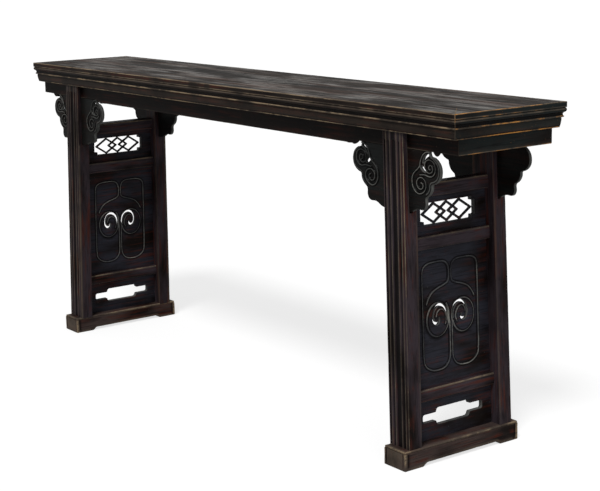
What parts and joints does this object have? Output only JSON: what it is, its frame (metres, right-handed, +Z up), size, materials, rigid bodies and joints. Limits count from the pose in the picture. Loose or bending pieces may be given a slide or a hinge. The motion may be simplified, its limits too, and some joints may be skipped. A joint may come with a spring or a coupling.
{
  "type": "altar table",
  "caption": "Long narrow altar table: framed top with moulded edge, splayed reeded legs, cloud spandrels, pierced and carved end panels on shoe feet.",
  "frame": {"origin": "on the floor below the middle of the table", "axes": "+X along the table to its right end, -Y to the front, +Z up"},
  "size_m": [2.109, 0.388, 0.9],
  "materials": {
    "top_board": "worn dark lacquer over hardwood, matt, open grain along the length",
    "frame_lacquer": "dark red-brown lacquer over hardwood, semi-matt, worn on the arrises",
    "batten_wood": "bare dark hardwood, planed",
    "apron_lacquer": "near-black lacquer over hardwood, semi-matt",
    "leg_lacquer": "dark lacquer over hardwood, worn olive on the reeds",
    "rail_lacquer": "dark red-brown lacquer over hardwood, semi-matt",
    "panel_lacquer": "near-black lacquer over carved hardwood, rubbed red on the high parts",
    "foot_lacquer": "dark lacquer worn to grey-brown wood"
  },
  "bodies": {
    "root": {"apron_back": "apron_lacquer", "apron_front": "apron_lacquer", "apron_left": "apron_lacquer", "apron_right": "apron_lacquer", "carved_panel_left": "panel_lacquer", "carved_panel_right": "panel_lacquer", "edge_strip_back": "frame_lacquer", "edge_strip_front": "frame_lacquer", "edge_strip_left": "frame_lacquer", "edge_strip_right": "frame_lacquer", "lattice_panel_left": "panel_lacquer", "lattice_panel_right": "panel_lacquer", "leg_back_left": "leg_lacquer", "leg_back_right": "leg_lacquer", "leg_front_left": "leg_lacquer", "leg_front_right": "leg_lacquer", "lower_rail_left": "rail_lacquer", "lower_rail_right": "rail_lacquer", "middle_rail_left": "rail_lacquer", "middle_rail_right": "rail_lacquer", "shoe_foot_left": "foot_lacquer", "shoe_foot_right": "foot_lacquer", "slotted_panel_left": "panel_lacquer", "slotted_panel_right": "panel_lacquer", "spandrel_back_left": "apron_lacquer", "spandrel_back_right": "apron_lacquer", "spandrel_front_left": "apron_lacquer", "spandrel_front_right": "apron_lacquer", "top_batten_1": "batten_wood", "top_batten_2": "batten_wood", "top_batten_3": "batten_wood", "top_batten_4": "batten_wood", "top_batten_5": "batten_wood", "top_frame_back": "frame_lacquer", "top_frame_front": "frame_lacquer", "top_frame_left": "frame_lacquer", "top_frame_right": "frame_lacquer", "top_panel": "top_board", "top_rail_left": "rail_lacquer", "top_rail_right": "rail_lacquer"}
  },
  "joints": []
}
